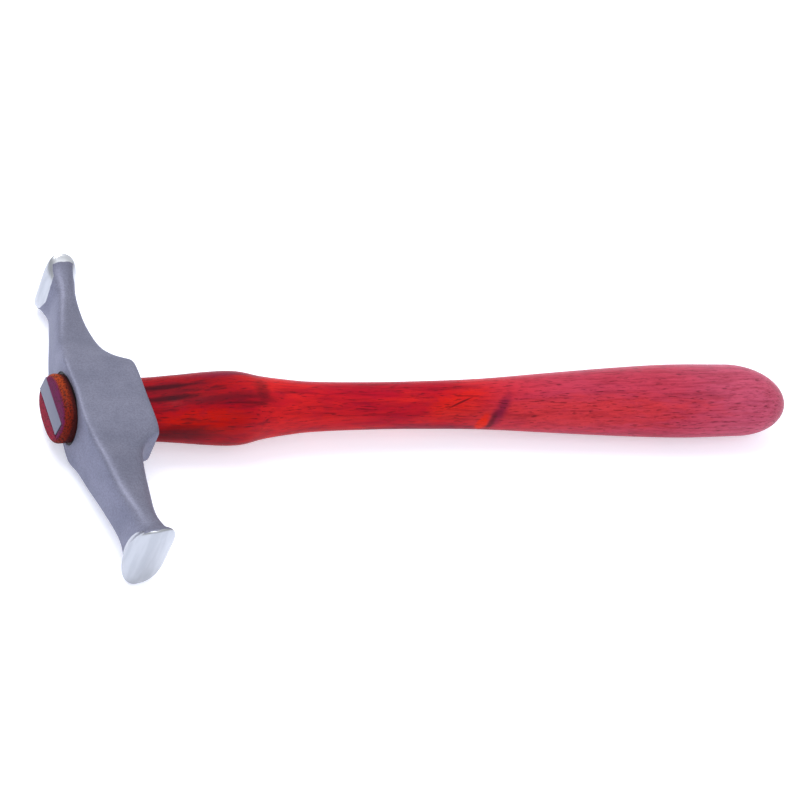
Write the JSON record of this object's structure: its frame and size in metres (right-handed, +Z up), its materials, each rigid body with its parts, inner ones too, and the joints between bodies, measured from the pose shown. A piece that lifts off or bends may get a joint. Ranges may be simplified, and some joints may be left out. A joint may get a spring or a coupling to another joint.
{
  "type": "silversmith's cross-peen raising hammer",
  "caption": "Double-ended steel cross-peen raising hammer: waisted head with polished crowned peens, wedged and bonded to a shaped red hardwood handle.",
  "frame": {"origin": "on the rest plane, below the middle of the overall length, on the handle's axis in plan", "axes": "+X along the handle from the head to the butt, +Y across the head from one peen to the other, +Z up, square to the head's cheeks; the hammer lies on its side"},
  "size_m": [0.239, 0.0896, 0.0189],
  "materials": {
    "head_steel": "bead-blasted matte steel, mirror-polished on the two peens",
    "handle_wood": "oiled and varnished red hardwood with dark streaks",
    "wedge_metal": "sanded flush with the tenon's end",
    "cured_resin": "black cured resin"
  },
  "bodies": {
    "root": {"hammer_head": "head_steel", "handle": "handle_wood", "wedge": "wedge_metal", "eye_adhesive": "cured_resin", "kerf_adhesive": "cured_resin"}
  },
  "joints": []
}
